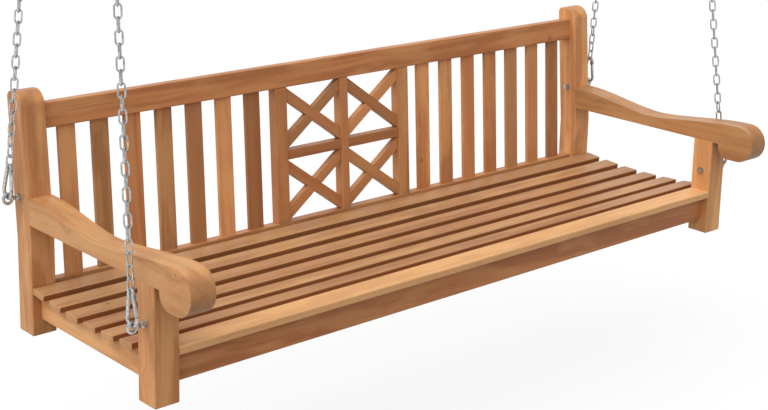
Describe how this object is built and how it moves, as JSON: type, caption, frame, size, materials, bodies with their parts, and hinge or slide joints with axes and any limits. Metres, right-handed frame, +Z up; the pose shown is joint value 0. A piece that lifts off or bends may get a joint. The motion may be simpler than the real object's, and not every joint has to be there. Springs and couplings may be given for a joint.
{
  "type": "hanging swing bench",
  "caption": "Slatted wooden bench with a slatted back, a lattice panel and scroll arms, hung by chains from two ceiling hooks so that it swings forwards and backwards.",
  "frame": {"origin": "midway between the two ceiling hooks' screws, in the plane of the underside of the beam they are driven into", "axes": "+X to the right as seen from the front, along the seat; +Y to the back; +Z up, along the screws"},
  "size_m": [1.888, 0.6715, 2.4912],
  "materials": {
    "teak_frame": "planed hardwood, unfinished, orange brown with darker streaks",
    "teak_arm": "planed and sanded hardwood, paler on top",
    "teak_seat": "planed hardwood, pale pinkish tan on top",
    "teak_back": "planed hardwood, redder and darker than the seat",
    "teak_pins": "turned hardwood dowel",
    "galvanised_steel": "bright zinc plating"
  },
  "bodies": {
    "ceiling_hooks": {"left_ceiling_hook": "galvanised_steel", "right_ceiling_hook": "galvanised_steel"},
    "left_front_gate": {"left_front_gate": "galvanised_steel"},
    "left_rear_gate": {"left_rear_gate": "galvanised_steel"},
    "right_front_gate": {"right_front_gate": "galvanised_steel"},
    "right_rear_gate": {"right_rear_gate": "galvanised_steel"},
    "bench": {"left_front_leg": "teak_frame", "right_front_leg": "teak_frame", "left_rear_post": "teak_frame", "right_rear_post": "teak_frame", "left_arm": "teak_arm", "right_arm": "teak_arm", "left_scroll_block": "teak_arm", "right_scroll_block": "teak_arm", "left_side_rail": "teak_frame", "right_side_rail": "teak_frame", "front_apron": "teak_frame", "front_board": "teak_seat", "left_seat_bearer": "teak_frame", "right_seat_bearer": "teak_frame", "top_rail": "teak_frame", "bottom_rail": "teak_frame", "left_stile": "teak_frame", "right_stile": "teak_frame", "centre_muntin": "teak_frame", "left_mid_bar": "teak_frame", "right_mid_bar": "teak_frame", "upper_left_cross": "teak_frame", "upper_right_cross": "teak_frame", "lower_left_cross": "teak_frame", "lower_right_cross": "teak_frame", "seat_slat_1": "teak_seat", "seat_slat_2": "teak_seat", "seat_slat_3": "teak_seat", "seat_slat_4": "teak_seat", "seat_slat_5": "teak_seat", "seat_slat_6": "teak_seat", "left_back_slats": "teak_back", "right_back_slats": "teak_back", "rail_screws": "galvanised_steel", "seat_dowels": "teak_pins", "left_front_eye_bolt": "galvanised_steel", "right_front_eye_bolt": "galvanised_steel", "left_rear_eye_bolt": "galvanised_steel", "right_rear_eye_bolt": "galvanised_steel", "bolt_washers": "galvanised_steel", "bolt_nuts": "galvanised_steel", "left_front_snap_hook": "galvanised_steel", "right_front_snap_hook": "galvanised_steel", "left_rear_snap_hook": "galvanised_steel", "right_rear_snap_hook": "galvanised_steel", "gate_pins": "galvanised_steel", "left_front_chain": "galvanised_steel", "right_front_chain": "galvanised_steel", "left_rear_chain": "galvanised_steel", "right_rear_chain": "galvanised_steel", "left_top_ring": "galvanised_steel", "right_top_ring": "galvanised_steel"}
  },
  "joints": [
    {"name": "swing", "type": "hinge", "parent": "ceiling_hooks", "child": "bench", "pos_m": [0, 0, -0.0565], "axis": [1, 0, 0], "range_deg": [-25, 25]},
    {"name": "left_front_gate_hinge", "type": "hinge", "parent": "bench", "child": "left_front_gate", "pos_m": [-0.92777, -0.2743, -2.18951], "axis": [0.9991, 0, -0.042], "range_deg": [0, 25], "stiffness_Nm_per_rad": 0.1, "springref_deg": -28.65},
    {"name": "left_rear_gate_hinge", "type": "hinge", "parent": "bench", "child": "left_rear_gate", "pos_m": [-0.92769, 0.18848, -2.05321], "axis": [0.999, 0, -0.0449], "range_deg": [0, 25], "stiffness_Nm_per_rad": 0.1, "springref_deg": -28.65},
    {"name": "right_front_gate_hinge", "type": "hinge", "parent": "bench", "child": "right_front_gate", "pos_m": [0.92777, -0.2743, -2.18951], "axis": [0.9991, 0, 0.042], "range_deg": [0, 25], "stiffness_Nm_per_rad": 0.1, "springref_deg": -28.65},
    {"name": "right_rear_gate_hinge", "type": "hinge", "parent": "bench", "child": "right_rear_gate", "pos_m": [0.92769, 0.18848, -2.05321], "axis": [0.999, 0, 0.0449], "range_deg": [0, 25], "stiffness_Nm_per_rad": 0.1, "springref_deg": -28.65}
  ]
}
